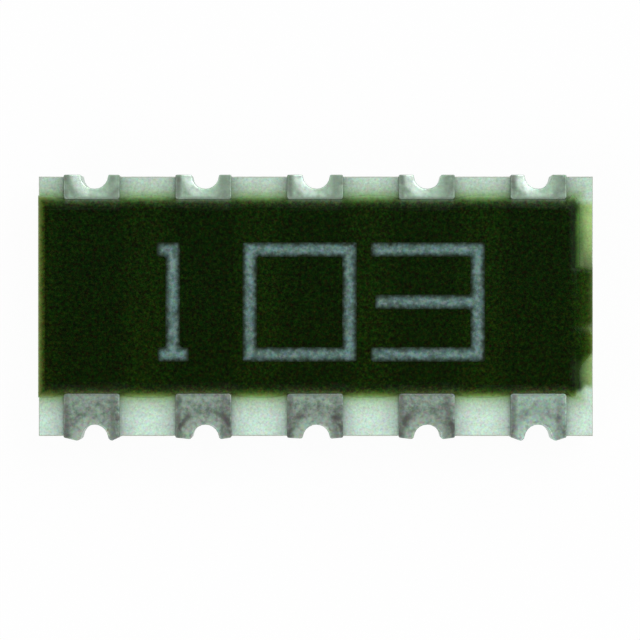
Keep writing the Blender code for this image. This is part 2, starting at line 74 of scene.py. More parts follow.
# Places read from the solids
TILE_LOW, TILE_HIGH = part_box("ceramic_substrate")
GLAZE_LOW, GLAZE_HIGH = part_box("overcoat")
CAP_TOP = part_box("terminal_03")[1].z
GLAZE_BASE = GLAZE_LOW.z
GLAZE_TOP = GLAZE_HIGH.z
GLAZE_DEPTH = GLAZE_TOP - GLAZE_BASE
TILE_EDGE_Y = TILE_HIGH.y

# Pins and their half-round holes
PIN_COUNT = 10
PINS_PER_ROW = 5
HOLE_PITCH = 1.27e-3
HOLE_SHIFT_X = 6e-6
FRONT_HOLE_OUTWARD = 20e-6
BACK_HOLE_OUTWARD = 10e-6
LINED_RADIUS = 0.154e-3

# The prints, which are stretched a little against the holes
PRINT_STRETCH = 1.007
PRINT_PITCH = PRINT_STRETCH * HOLE_PITCH
PRINT_SHIFT_X = -8e-6
GLAZE_FRONT_Y = -0.996e-3
GLAZE_BACK_Y = 1.221e-3

WHITE = (1.0, 1.0, 1.0)
BLACK = (0.0, 0.0, 0.0)

# Alumina's own colour, and the painted shade it takes beside the dark glaze, which drinks up the light that
# strays below it, and how far in millimetres that painted shade reaches
ALUMINA = (0.607, 0.81, 0.686)
ALUMINA_SHADED_BY_GLAZE = (0.385, 0.550, 0.360)
ALUMINA_FADE = 0.30

# What changes alumina's colour: a creep of glaze past its edge, pink grains and dark grains
ALUMINA_CREEP = (0.74, 0.86, 0.64)
ALUMINA_PINK = (1.07, 0.94, 0.99)
ALUMINA_DARK_GRAIN = 0.68

# Painted light: how the tile's lightness changes per millimetre, lighter to the right and darker to the back
PAINTED_LIGHT_TO_RIGHT = 0.012
PAINTED_LIGHT_TO_BACK = -0.040

# Alumina where the plate was snapped
BREAK_DARK = (0.44, 0.49, 0.44)
BREAK_PALE = (0.66, 0.70, 0.65)

# Slag of the laser scores on the tile's sides, and the height in millimetres where they start
SLAG_DARK = (0.28, 0.33, 0.25)
SLAG_PALE = (0.46, 0.53, 0.42)
SLAG_BY_TONGUE = (0.07, 0.10, 0.03)
SCORE_LEVEL = 0.484
SCORE_EASE = 0.01

# The bare strip at the right end, where traces of glaze tint it: by the glaze and at the tile's end
STRIP_START = (2.93, 2.99)
TRACE_BY_GLAZE = (0.12, 0.195, 0.055)
TRACE_AT_END = (0.50, 0.58, 0.235)

# How the glaze darkens: what each colour loses at one depth in millimetres, and how steeply that grows
GLAZE_LOSS = (2.10, 1.90, 2.85)
GLAZE_DEEP = 0.044
GLAZE_STEEPNESS = 1.8

# What makes the glaze yellower where it is thin, in front and at the left end
FRONT_YELLOW = (1.0, 0.92, 0.60)
LEFT_YELLOW = (1.03, 0.78, 0.56)

# The glaze's own colours where it is deep, and the silver that shows through its rim
GLAZE_GREEN = (0.0003, 0.0048, 0.0004)
GLAZE_RUST = (0.0044, 0.0022, 0.0004)
GLAZE_TONGUE = (0.0035, 0.0115, 0.0005)
GLAZE_DARKEST = (0.0002, 0.0004, 0.0001)
GLAZE_OVER_SILVER = (0.30, 0.40, 0.40)

# The glaze's depth across its rim, in millimetres: where it starts outside its print, and where it is full
FULL_DEPTH = 0.062
RIM_OUTSIDE = 0.054
RIM_FURTHER_IN_FRONT = 0.010
RIM_WIDTH = 0.168
END_OUTSIDE = 0.025

# Dull and clean tin of the front pads, of the last front pad, and of the back pads, lighter in that order by
# painted light
SHADED_FRONT_TIN = ((0.17, 0.25, 0.20), (0.48, 0.62, 0.51))
LIT_LAST_FRONT_TIN = ((0.34, 0.50, 0.40), (0.55, 0.76, 0.64))
LIT_BACK_TIN = ((0.34, 0.52, 0.37), (0.58, 0.82, 0.63))

# Other colours of tin: in its grains, a painted highlight and painted shade beside the hole, in dark marks
# and painted shade, in painted shade at rounded edges, and on walls
TIN_PURPLE = (0.98, 0.76, 0.87)
TIN_DARK_GRAIN = 0.42
TIN_PAINTED_HIGHLIGHT = (0.84, 1.0, 0.92)
TIN_PAINTED_SHADE = (0.37, 0.51, 0.39)
TIN_PAINTED_LIGHT_STRENGTH = 0.75
TIN_MARKS_AND_SHADE = (0.12, 0.115, 0.105)
TIN_PAINTED_EDGE_SHADE = (0.05, 0.055, 0.05)
TIN_WALL = (0.44, 0.52, 0.46)

# Printed ink: its clouds, its grains, and the glaze that shows where it is worn
INK_DARK = (0.084, 0.146, 0.130)
INK_PALE = (0.140, 0.250, 0.232)
INK_PALE_GRAIN = (0.21, 0.30, 0.28)
INK_DARK_GRAIN = (0.06, 0.105, 0.09)
INK_WORN = (0.006, 0.013, 0.003)

# Films under the glaze and the plating
SILVER_DARK = (0.46, 0.46, 0.43)
SILVER_PALE = (0.68, 0.66, 0.61)
RESISTOR_BLACK = (0.018, 0.018, 0.02)
RESISTOR_FLECK = (0.075, 0.07, 0.065)
PRECOAT_DARK = (0.045, 0.105, 0.05)
PRECOAT_PALE = (0.09, 0.17, 0.095)

# Meshes are shaped in millimetres, where Blender's own tolerances suit their details
PER_MM = 1e3
WELD_MM = 1e-4
CUT_MM = 1e-5
FLAT_DEGREES = 0.2
SHARP_DEGREES = 60
TILE_SHARP_DEGREES = 50

# Rough break along the tile's edges, which fades towards the flat faces
BREAK_ROUGHNESS = 3.5e-6
BREAK_SCALE = 22
BREAK_FADE = 90e-6
BREAK_DIVISION = 26e-6

# How far in from an edge the break starts, and over how much it eases in
BREAK_DEPTH = 40e-6
BREAK_EASE = 30e-6

# The plating rounds down towards each hole
SHOULDER_DROP = 16e-6
SHOULDER_REACH = 0.15e-3
PLATING_LUMPS = 2.0e-6
PLATING_LUMP_SCALE = 14
PLATING_DIVISION = 16e-6
PLATING_DIVISION_UP = 30e-6

# The plating's outer skin: this near its top or foot, this near its hole, or this far past the tile's edge
SKIN_AT_TOP = 14e-6
SKIN_AT_HOLE = 2e-6
SKIN_PAST_TILE = 6e-6

# Relief of the glaze: it sinks a little where no film lies beneath it
GLAZE_DIP = 2.5e-6
GLAZE_DIP_EDGE = 0.10e-3
GLAZE_WAVE = 1.6e-6
GLAZE_WAVE_SCALE = 5
GLAZE_DIVISION = 28e-6

# The relief starts this high above the glaze's base, and is full this much above that
RELIEF_START = 12e-6
RELIEF_SPAN = GLAZE_DEPTH - 14e-6

# The glaze's upper side: how far its faces turn up at least, the height above its base where it starts, and
# how often it is eased smooth
UPPER_TURN = -0.5
UPPER_START_MM = 0.004
RIM_EASINGS = 5

# How far a point of the glaze's top turns up at least, and a face of its walls at most
TOP_TURN = 0.2
WALL_TURN = 0.3

# The glaze's rim ends in a feather: points below these heights, on its slope or its walls, sink to a share
RIM_FOOT = 2e-6
RIM_STEP = 9e-6
WALL_STEP = 18e-6
RIM_FEATHER = 0.2

# The glaze flows this much further where it ends against a plated pad
GLAZE_TO_CAP = 9e-6
PAD_REACH = 0.335e-3

# How near the glaze's front or back edge a point counts as on it
EDGE_CATCH = 3e-6

# Printed code: three plain figures in strokes of one width
INK_STROKE = 0.168e-3
INK_HEIGHT = 1.367e-3
INK_WIDTH = 1.309e-3
INK_BOTTOM_Y = -0.6345e-3
INK_FIRST_X = -2.3055e-3
INK_ADVANCE = 1.4665e-3

# The film of ink: its gap to the glaze, the heights of its rim and its middle, and the shoulder between them
INK_GAP = 0.6e-6
INK_EDGE = 1.5e-6
INK_THICKNESS = 6e-6
INK_SHOULDER = 75e-6
INK_LEVELS = 3
INK_DIVISION = 60e-6

# The ink's outline: its steps, how far it wanders, and how often it is eased to round its corners
INK_STEP = 11e-6
INK_RAGGED = 9e-6
INK_RAGGED_SCALE = 38
INK_RAGGED_SEED = 3.0
INK_EASINGS = 8


def smooth(share):
    """Eases from 0 to 1, and stays there."""
    share = min(max(share, 0.0), 1.0)
    return share * share * (3 - 2 * share)


def waves(x, y, z, scale, seed=0.0):
    """Smooth noise from about -1 to 1, with scale waves to the millimetre and finer ones over them."""
    place = Vector((x, y, z)) * (PER_MM * scale) + Vector((seed, -seed, 2 * seed))
    return noise.noise(place) + 0.5 * noise.noise(place * 2.1)


# Camera, lights and surroundings

def add_camera():
    """Looks straight down, framed as the photograph is."""
    view_width = IMAGE_PIXELS / PIXELS_PER_METRE
    distance = view_width * LENS_MM / SENSOR_MM
    middle = IMAGE_PIXELS / 2
    aim = Vector((
        (middle - TILE_MIDDLE_PIXEL_X) / PIXELS_PER_METRE,
        (TILE_MIDDLE_PIXEL_Y - middle) / PIXELS_PER_METRE,
        TILE_HIGH.z,
    ))
    data = bpy.data.cameras.new("camera")
    data.lens = LENS_MM
    data.sensor_width = SENSOR_MM
    data.clip_start = 1e-3
    data.clip_end = 1.0
    camera = bpy.data.objects.new("camera", data)
    bpy.context.scene.collection.objects.link(camera)
    camera.location = aim + Vector((0, 0, distance))
    bpy.context.scene.camera = camera


def add_softbox(name, direction, radiance):
    """A square lamp that faces the chip."""
    data = bpy.data.lights.new(name, 'AREA')
    data.shape = 'SQUARE'
    data.size = LAMP_SIZE
    data.energy = radiance * math.pi * LAMP_SIZE ** 2
    lamp = bpy.data.objects.new(name, data)
    bpy.context.scene.collection.objects.link(lamp)
    towards = Vector(direction).normalized()
    lamp.location = towards * LAMP_DISTANCE
    lamp.rotation_euler = towards.to_track_quat('Z', 'Y').to_euler()


# Node graphs

class Graph:
    """Adds shader nodes to one tree. A value given to it is a number, a tuple or another node's socket."""

    def __init__(self, tree):
        self.tree = tree

    def node(self, kind, **settings):
        node = self.tree.nodes.new(kind)
        for name, value in settings.items():
            setattr(node, name, value)
        return node

    def feed(self, socket, value):
        if isinstance(value, bpy.types.NodeSocket):
            self.tree.links.new(value, socket)
        else:
            socket.default_value = value

    def math(self, operation, *values, clamp=False):
        node = self.node("ShaderNodeMath", operation=operation, use_clamp=clamp)
        for socket, value in zip(node.inputs, values):
            self.feed(socket, value)
        return node.outputs[0]

    def vector(self, operation, *values):
        node = self.node("ShaderNodeVectorMath", operation=operation)
        for socket, value in zip(node.inputs, values):
            self.feed(socket, value)
        return node.outputs[0]

    def scaled(self, vector, factor):
        node = self.node("ShaderNodeVectorMath", operation='SCALE')
        self.feed(node.inputs[0], vector)
        self.feed(node.inputs["Scale"], factor)
        return node.outputs[0]

    def length(self, vector):
        node = self.node("ShaderNodeVectorMath", operation='LENGTH')
        self.feed(node.inputs[0], vector)
        return node.outputs["Value"]

    def split(self, vector):
        node = self.node("ShaderNodeSeparateXYZ")
        self.feed(node.inputs[0], vector)
        return node.outputs

    def joined(self, x, y, z):
        node = self.node("ShaderNodeCombineXYZ")
        for socket, value in zip(node.inputs, (x, y, z)):
            self.feed(socket, value)
        return node.outputs[0]

    def product(self, *values):
        result = values[0]
        for value in values[1:]:
            result = self.math('MULTIPLY', result, value)
        return result

    def ease(self, value, low, high, to_low=0.0, to_high=1.0):
        """Eases from to_low to to_high as value goes from low to high."""
        node = self.node("ShaderNodeMapRange", interpolation_type='SMOOTHSTEP')
        sockets = ("Value", "From Min", "From Max", "To Min", "To Max")
        for socket, number in zip(sockets, (value, low, high, to_low, to_high)):
            self.feed(node.inputs[socket], number)
        return node.outputs["Result"]

    def noise(self, place, scale, detail=2.0, roughness=0.5, shift=None):
        """Smooth noise, from its own part of the pattern where a shift is given."""
        if shift:
            place = self.vector('ADD', place, shift)
        node = self.node("ShaderNodeTexNoise")
        values = {"Vector": place, "Scale": scale, "Detail": detail, "Roughness": roughness}
        for name, value in values.items():
            self.feed(node.inputs[name], value)
        return node.outputs

    def cells(self, place, scale):
        """Distance from the middle of the nearest of many small cells."""
        node = self.node("ShaderNodeTexVoronoi")
        self.feed(node.inputs["Vector"], place)
        self.feed(node.inputs["Scale"], scale)
        return node.outputs["Distance"]

    def speckled(self, colour, place, scale, strength):
        """Varies the three parts of a colour by fine noise of their own."""
        pattern = self.noise(place, scale, detail=1.0)["Color"]
        spread = self.scaled(self.vector('SUBTRACT', pattern, (0.5, 0.5, 0.5)), strength)
        return self.vector('MULTIPLY', colour, self.vector('ADD', spread, WHITE))

    def grained(self, colour, place, scale, strength):
        """Varies the lightness of a colour by fine noise."""
        pattern = self.noise(place, scale, detail=1.0)["Fac"]
        return self.scaled(colour, self.math('MULTIPLY_ADD', pattern, strength, 1 - strength / 2))

    def mix(self, factor, first, second):
        node = self.node("ShaderNodeMix", data_type='RGBA')
        colours = [socket for socket in node.inputs if socket.type == 'RGBA']
        self.feed(node.inputs[0], factor)
        for socket, value in zip(colours, (first, second)):
            self.feed(socket, (*value, 1) if isinstance(value, tuple) else value)
        return [socket for socket in node.outputs if socket.type == 'RGBA'][0]

    def upward(self):
        """How far the surface faces up, from -1 to 1."""
        geometry = self.node("ShaderNodeNewGeometry")
        return self.split(geometry.outputs["Normal"])[2]

    def bump(self, height, distance, strength, normal=None):
        node = self.node("ShaderNodeBump")
        self.feed(node.inputs["Height"], height)
        self.feed(node.inputs["Distance"], distance)
        self.feed(node.inputs["Strength"], strength)
        if normal is not None:
            self.feed(node.inputs["Normal"], normal)
        return node.outputs["Normal"]


def new_material(name):
    """A material with its graph, its shader's inputs and the place on the chip in millimetres."""
    material = bpy.data.materials.new(name)
    material.use_nodes = True
    graph = Graph(material.node_tree)
    shader = material.node_tree.nodes["Principled BSDF"]
    coordinates = graph.node("ShaderNodeTexCoord")
    place = graph.scaled(coordinates.outputs["Object"], PER_MM)
    return material, graph, shader.inputs, place


def set_world():
    """A pale tent with a dim opening overhead, where the camera looks in."""
    world = bpy.data.worlds.new("studio")
    world.use_nodes = True
    bpy.context.scene.world = world
    graph = Graph(world.node_tree)
    background = world.node_tree.nodes["Background"]
    coordinates = graph.node("ShaderNodeTexCoord")
    height = graph.split(coordinates.outputs["Generated"])[2]
    light = graph.ease(height, OPENING_STARTS, OPENING_FULL, 1.0, OPENING_LIGHT)
    ray = graph.node("ShaderNodeLightPath")
    graph.feed(background.inputs["Color"], (*WHITE, 1))
    seen = graph.math('MAXIMUM', light, ray.outputs["Is Camera Ray"])
    graph.feed(background.inputs["Strength"], seen)


def add_floor():
    """A plain white floor, which keeps a faint shadow of the chip."""
    reach = 0.3
    drop = 1e-6
    mesh = bpy.data.meshes.new("floor")
    sides = ((-reach, -reach), (reach, -reach), (reach, reach), (-reach, reach))
    mesh.from_pydata([(x, y, -drop) for x, y in sides], [], [(0, 1, 2, 3)])
    floor = bpy.data.objects.new("floor", mesh)
    bpy.context.scene.collection.objects.link(floor)
    material = bpy.data.materials.new("pale_floor")
    material.use_nodes = True
    graph = Graph(material.node_tree)
    output = material.node_tree.nodes["Material Output"]
    material.node_tree.nodes.remove(material.node_tree.nodes["Principled BSDF"])
    diffuse = graph.node("ShaderNodeBsdfDiffuse")
    graph.feed(diffuse.inputs["Color"], (FLOOR_SHADE,) * 3 + (1,))
    glow = graph.node("ShaderNodeEmission")
    graph.feed(glow.inputs["Color"], (*WHITE, 1))
    ray = graph.node("ShaderNodeLightPath")
    direct = graph.math('ADD', ray.outputs["Is Camera Ray"], ray.outputs["Is Glossy Ray"])
    direct = graph.math('ADD', direct, ray.outputs["Is Transmission Ray"], clamp=True)
    mix = graph.node("ShaderNodeMixShader")
    graph.feed(mix.inputs[0], graph.product(direct, FLOOR_GLOW))
    graph.feed(mix.inputs[1], diffuse.outputs[0])
    graph.feed(mix.inputs[2], glow.outputs[0])
    graph.feed(output.inputs["Surface"], mix.outputs[0])
    mesh.materials.append(material)


# Places and depths, as the materials read them

def across_pads(graph, place):
    """Sideways distance in millimetres from the middle of the nearest pad."""
    x = graph.split(place)[0]
    half = PRINT_PITCH * PER_MM / 2
    return graph.math('WRAP', graph.math('SUBTRACT', x, PRINT_SHIFT_X * PER_MM), half, -half)


def from_hole(graph, place):
    """Distance in millimetres from the middle of the nearest hole."""
    x, y, _ = graph.split(place)
    half = HOLE_PITCH * PER_MM / 2
    across = graph.math('WRAP', graph.math('SUBTRACT', x, HOLE_SHIFT_X * PER_MM), half, -half)
    hole_y = (TILE_EDGE_Y + FRONT_HOLE_OUTWARD) * PER_MM
    outward = graph.math('SUBTRACT', graph.math('ABSOLUTE', y), hole_y)
    return graph.length(graph.joined(across, outward, 0.0))


def from_glaze(graph, place):
    """Distance in millimetres outside the glaze's front or back edge, less than nought inside it."""
    y = graph.split(place)[1]
    in_front = graph.math('SUBTRACT', GLAZE_FRONT_Y * PER_MM, y)
    behind = graph.math('SUBTRACT', y, GLAZE_BACK_Y * PER_MM)
    return graph.math('MAXIMUM', in_front, behind)


def rim_depth(graph, inside):
    """The glaze's depth at a distance inside the line where it starts."""
    share = graph.math('DIVIDE', inside, RIM_WIDTH, clamp=True)
    rise = graph.math('SINE', graph.product(share, math.pi / 2))
    return graph.product(rise, FULL_DEPTH)


def even_depth(graph, place):
    """The glaze's depth by its front and back edges, which runs straight past pads and gaps."""
    x, y, _ = graph.split(place)
    outside = graph.ease(y, -0.5, 0.5, RIM_OUTSIDE + RIM_FURTHER_IN_FRONT, RIM_OUTSIDE)
    depth = rim_depth(graph, graph.math('SUBTRACT', outside, from_glaze(graph, place)))
    return graph.product(depth, graph.ease(x, 2.95, 3.01, 1.0, 0.0))


def glaze_depth(graph, place):
    """The depth below a point of the glaze's surface, thinner towards the left end."""
    x, _, height = graph.split(place)
    depth = graph.math('SUBTRACT', height, GLAZE_BASE * PER_MM)
    depth = graph.math('MAXIMUM', depth, even_depth(graph, place))
    in_from_end = graph.math('SUBTRACT', x, GLAZE_LOW.x * PER_MM - END_OUTSIDE)
    by_end = graph.math('ADD', rim_depth(graph, in_from_end), graph.ease(x, -3.1, -3.0))
    return graph.math('MINIMUM', depth, by_end)


def through_glaze(graph, depth, place):
    """How much of each colour gets through the glaze and back. The front and left edges are yellower."""
    x, y, _ = graph.split(place)
    relative = graph.math('POWER', graph.math('DIVIDE', depth, GLAZE_DEEP), GLAZE_STEEPNESS)
    parts = (graph.math('EXPONENT', graph.product(relative, -loss)) for loss in GLAZE_LOSS)
    kept = graph.joined(*parts)
    at_left = graph.ease(x, -3.0, -3.1)
    yellow = graph.mix(at_left, FRONT_YELLOW, LEFT_YELLOW)
    yellow_side = graph.math('MAXIMUM', graph.ease(y, 0.5, -0.5), at_left)
    share = graph.product(yellow_side, graph.ease(relative, 0.0, 0.25))
    return graph.vector('MULTIPLY', kept, graph.mix(share, WHITE, yellow))


# Alumina

def in_strip(graph, place):
    """1 in the bare strip at the right end, easing to 0 round it."""
    x, y, _ = graph.split(place)
    from_front = graph.math('ADD', y, graph.ease(x, 3.02, 3.09, 0.0, -0.05))
    return graph.product(
        graph.ease(x, *STRIP_START),
        graph.ease(from_front, -1.02, -0.93),
        graph.ease(y, 1.24, 1.14),
    )


def strip_trace(graph, place, cloud):
    """What the traces of glaze in the strip let through: least by the glaze and beside the tongue."""
    x, y, _ = graph.split(place)
    fray = graph.product(graph.math('SUBTRACT', cloud, 0.5), 0.10)
    along = graph.math('ADD', x, graph.ease(y, -0.3, -0.6, 0.0, -0.044))
    along = graph.math('ADD', along, fray)
    trace = graph.mix(graph.ease(along, 2.99, 3.17), TRACE_BY_GLAZE, TRACE_AT_END)
    back_corner = graph.ease(y, 1.03, 1.10, 0.0, -0.045)
    behind_nick = graph.ease(y, -0.3, -0.6, 0.03, 0.0)
    from_body = graph.math('ADD', along, graph.math('ADD', back_corner, behind_nick))
    trace = graph.scaled(trace, graph.ease(from_body, 2.95, 3.03, 0.15, 1.0))
    to_back = graph.math('MAXIMUM', graph.ease(y, 0.4, 1.15, 0.75, 1.35), graph.ease(y, -0.4, -0.6))
    trace = graph.scaled(trace, to_back)
    off_tongue = graph.math('MAXIMUM', graph.ease(y, 0.44, 0.70, 0.6, 1.0), graph.ease(y, 0.0, -0.4))
    off_tongue = graph.math('MAXIMUM', off_tongue, graph.ease(x, 3.13, 3.04))
    return graph.scaled(trace, off_tongue)


def alumina_tone(graph, place):
    """The tile's colour, with painted shade by the glaze and by the pads and a painted light gradient,
    tinted in the strip at the right end.
    """
    x, y, _ = graph.split(place)
    cloud = graph.noise(place, 6, detail=3)["Fac"]
    past_glaze = graph.ease(x, 2.98, 3.14)
    from_edge = from_glaze(graph, place)
    # Painted shade: the tile is darker towards the glaze's edge, less so in the strip at the right end
    far = graph.ease(from_edge, 0.0, ALUMINA_FADE)
    far = graph.math('MAXIMUM', far, graph.product(past_glaze, 0.75))
    colour = graph.mix(far, ALUMINA_SHADED_BY_GLAZE, ALUMINA)
    clean = graph.math('MAXIMUM', graph.ease(from_edge, 0.045, 0.125), past_glaze)
    colour = graph.vector('MULTIPLY', colour, graph.mix(clean, ALUMINA_CREEP, WHITE))
    # Painted light: lighter to the right and darker to the back, with a random tone from the cloud
    light = graph.math('ADD', graph.product(x, PAINTED_LIGHT_TO_RIGHT), graph.product(y, PAINTED_LIGHT_TO_BACK))
    light = graph.math('ADD', light, graph.ease(cloud, 0.3, 0.7, 0.91, 0.99))
    # Painted shade: darker towards the sides of the pads
    from_pad = graph.math('ABSOLUTE', graph.math('ADD', across_pads(graph, place), 0.01))
    painted_shade_by_pad = graph.ease(from_pad, 0.26, 0.56, 0.63, 1.0)
    colour = graph.scaled(colour, graph.product(light, painted_shade_by_pad))
    tinted = graph.vector('MULTIPLY', strip_trace(graph, place, cloud), ALUMINA)
    return graph.mix(in_strip(graph, place), colour, tinted)


def fired_colour(graph, place, grain):
    """Alumina's upper side: pink and dark grains, under the glaze that bled over it."""
    tint = graph.noise(place, 16, detail=3, shift=(7.0, 3.0, 1.0))["Fac"]
    bled_over = through_glaze(graph, even_depth(graph, place), place)
    tone = graph.vector('MULTIPLY', alumina_tone(graph, place), bled_over)
    pink = graph.vector('MULTIPLY', tone, ALUMINA_PINK)
    colour = graph.mix(graph.ease(tint, 0.45, 0.68, 0.0, 0.8), tone, pink)
    dark = graph.scaled(colour, ALUMINA_DARK_GRAIN)
    colour = graph.mix(graph.ease(grain, 0.52, 0.28, 0.0, 0.55), colour, dark)
    return graph.grained(graph.speckled(colour, place, 30, 0.5), place, 55, 0.35)


def slag_colour(graph, place, grain):
    """Glassy slag of the laser scores, dark where the tongue of glaze reaches the tile's end."""
    x, y, _ = graph.split(place)
    slag = graph.mix(graph.ease(grain, 0.35, 0.65), SLAG_DARK, SLAG_PALE)
    by_tongue = graph.product(
        graph.ease(x, 3.10, 3.15),
        graph.ease(y, -0.62, -0.50),
        graph.ease(y, 0.50, 0.42),
    )
    return graph.mix(by_tongue, slag, SLAG_BY_TONGUE)


def ceramic_material():
    """Greenish white alumina, open where the plate was snapped, with glassy slag on the scores."""
    material, graph, inputs, place = new_material("alumina")
    grain = graph.noise(place, 34, detail=3, roughness=0.6)["Fac"]
    crystals = graph.cells(place, 75)
    upward = graph.math('ABSOLUTE', graph.upward())
    broken = graph.ease(upward, 0.25, 0.75, 1.0, 0.0)
    fresh = graph.mix(graph.ease(crystals, 0.2, 0.8), BREAK_DARK, BREAK_PALE)
    colour = graph.mix(graph.product(broken, 0.85), fired_colour(graph, place, grain), fresh)
    height = graph.split(place)[2]
    high_enough = graph.ease(height, SCORE_LEVEL, SCORE_LEVEL + SCORE_EASE)
    scored = graph.product(graph.ease(upward, 0.8, 0.6), high_enough)
    graph.feed(inputs["Base Color"], graph.mix(scored, colour, slag_colour(graph, place, grain)))
    graph.feed(inputs["Roughness"], graph.ease(grain, 0.2, 0.8, 0.45, 0.7))
    inputs["Specular IOR Level"].default_value = 0.35
    fine = graph.bump(graph.noise(place, 110, detail=3)["Fac"], 1.6e-6, 0.7)
    coarse = graph.bump(crystals, 3e-6, graph.product(broken, 0.9), fine)
    graph.feed(inputs["Normal"], coarse)
    return material


# Tin

class PadPlace:
    """Where a point of a pad lies, and the slow noise that breaks up the pad's marks."""

    def __init__(self, graph, place):
        self.from_hole = from_hole(graph, place)
        self.across = across_pads(graph, place)
        self.from_glaze = from_glaze(graph, place)
        self.patch = graph.noise(place, 6.5, detail=3, shift=(3.0, 9.0, 0.0))["Fac"]


def tin_tone(graph, place, pad, blotch, dull, clean):
    """Tin's colour: paler round the hole, most at its left, and by the glaze, with purple grains."""
    hue = graph.noise(place, 20, shift=(1.0, 5.0, 8.0))["Fac"]
    metal = graph.mix(graph.ease(blotch, 0.28, 0.70), dull, clean)
    pale_ring = graph.product(
        graph.ease(pad.from_hole, 0.30, 0.22),
        graph.ease(pad.across, 0.05, -0.10, 0.45, 0.90),
    )
    metal = graph.mix(pale_ring, metal, clean)
    purple = graph.vector('MULTIPLY', metal, TIN_PURPLE)
    metal = graph.mix(graph.ease(hue, 0.48, 0.72, 0.0, 0.8), metal, purple)
    return graph.mix(graph.ease(pad.from_glaze, 0.05, 0.11, 0.45, 0.0), metal, clean)


def painted_highlight_and_shade(graph, metal, pad, painted_light):
    """Paints a highlight on tin at the left of the hole and painted shade at the right, by a strength of
    painted light from 0 to 1.
    """
    strength = TIN_PAINTED_LIGHT_STRENGTH * painted_light
    left = graph.product(
        graph.ease(pad.across, 0.06, -0.14),
        graph.ease(pad.from_hole, 0.31, 0.22),
        strength,
    )
    metal = graph.mix(left, metal, TIN_PAINTED_HIGHLIGHT)
    right = graph.product(
        graph.ease(pad.across, 0.10, 0.22),
        graph.ease(pad.patch, 0.30, 0.55, 0.4, 1.0),
        strength,
    )
    return graph.mix(right, metal, TIN_PAINTED_SHADE)


def marks_and_painted_shade(graph, pad, marks_and_shade):
    """Where tin is darkened: in a broken arc outside the hole, and by painted shade along the sides and
    against the glaze.
    """
    fray = graph.product(graph.math('SUBTRACT', pad.patch, 0.5), 0.12)
    ragged_distance = graph.math('ADD', pad.from_hole, fray)
    arc = graph.product(
        graph.ease(ragged_distance, 0.245, 0.30),
        graph.ease(ragged_distance, 0.32, 0.40, 1.0, 0.0),
        graph.ease(graph.math('ABSOLUTE', pad.across), 0.08, 0.25, 0.2, 0.9),
        graph.ease(pad.patch, 0.62, 0.42, 0.2, 1.0),
        marks_and_shade,
    )
    # Painted shade: dark bands along the pad's left and right sides
    left_band = graph.ease(pad.across, -0.220, -0.285, 0.0, 0.62)
    right_band = graph.product(
        graph.ease(pad.across, 0.17, 0.23),
        graph.ease(pad.across, 0.30, 0.25),
        0.5 * marks_and_shade,
    )
    band = graph.math('MAXIMUM', left_band, right_band)
    band = graph.product(band, graph.ease(pad.patch, 0.35, 0.6, 0.65, 1.0))
    # Painted shade: a dark line against the glaze
    border = graph.ease(pad.from_glaze, 0.0, 0.055, 0.60, 0.0)
    return graph.math('MAXIMUM', graph.math('MAXIMUM', arc, band), border)


def painted_edge_shade(graph, place, pad, upward):
    """Painted shade where a pad's upper side rounds down, so that it looks dark from above."""
    height = graph.split(place)[2]
    return graph.product(
        graph.ease(upward, 0.93, 0.70),
        graph.ease(height, 0.535, 0.550),
        graph.ease(pad.from_glaze, 0.02, 0.06, 0.35, 0.50),
        graph.ease(pad.across, -0.2, 0.2, 1.0, 0.7),
    )


def tin_material(name, dull, clean, marks_and_shade, grit, painted_light):
    """Matt tin over silver, from a dull and a clean colour, with strengths from 0 to 1 of dark marks and
    painted shade, of grit, and of painted light.
    """
    material, graph, inputs, place = new_material(name)
    pad = PadPlace(graph, place)
    blotch = graph.noise(place, 12, detail=4, roughness=0.65)["Fac"]
    grain = graph.noise(place, 20)["Fac"]
    metal = tin_tone(graph, place, pad, blotch, dull, clean)
    # Painted highlight left of the hole and painted shade right of it
    metal = painted_highlight_and_shade(graph, metal, pad, painted_light)
    # Dark marks by the hole, with painted shade along the sides and against the glaze
    metal = graph.mix(marks_and_painted_shade(graph, pad, marks_and_shade), metal, TIN_MARKS_AND_SHADE)
    dark = tuple(TIN_DARK_GRAIN * part for part in dull)
    metal = graph.mix(graph.ease(grain, 0.52, 0.30, 0.0, 0.42 * grit), metal, dark)
    metal = graph.speckled(metal, place, 28, 0.75 * grit)
    upward = graph.upward()
    on_wall = graph.ease(graph.math('ABSOLUTE', upward), 0.6, 0.2, 0.0, 0.7)
    metal = graph.mix(on_wall, metal, TIN_WALL)
    # Painted shade at the pads' rounded edges
    metal = graph.mix(painted_edge_shade(graph, place, pad, upward), metal, TIN_PAINTED_EDGE_SHADE)
    graph.feed(inputs["Base Color"], metal)
    inputs["Metallic"].default_value = 0.6
    graph.feed(inputs["Roughness"], graph.ease(blotch, 0.3, 0.7, 0.52, 0.40))
    pores = graph.bump(grain, 3e-6, 0.5 * grit)
    graph.feed(inputs["Normal"], graph.bump(graph.cells(place, 42), 2e-6, 0.3 * grit, pores))
    return material


def tin_materials():
    """The tin of each pin, with painted light by row: shaded in front, lighter on the last front pin, and
    brightest at the back.
    """
    # Painted light: the rows' tins are shaded in front and lit on the last front pin and at the back
    shaded_front = tin_material("front_tin_painted_shade", *SHADED_FRONT_TIN, marks_and_shade=1.0, grit=0.9, painted_light=0.0)
    lit_last_front = tin_material("last_front_tin_painted_light", *LIT_LAST_FRONT_TIN, marks_and_shade=0.85, grit=1.0, painted_light=0.0)
    back = tin_material("back_tin_painted_light", *LIT_BACK_TIN, marks_and_shade=0.45, grit=0.4, painted_light=1.0)
    chosen = {}
    for pin in range(1, PIN_COUNT + 1):
        if pin < PINS_PER_ROW:
            chosen[pin] = shaded_front
        elif pin == PINS_PER_ROW:
            chosen[pin] = lit_last_front
        else:
            chosen[pin] = back
    return chosen


# Glaze and ink

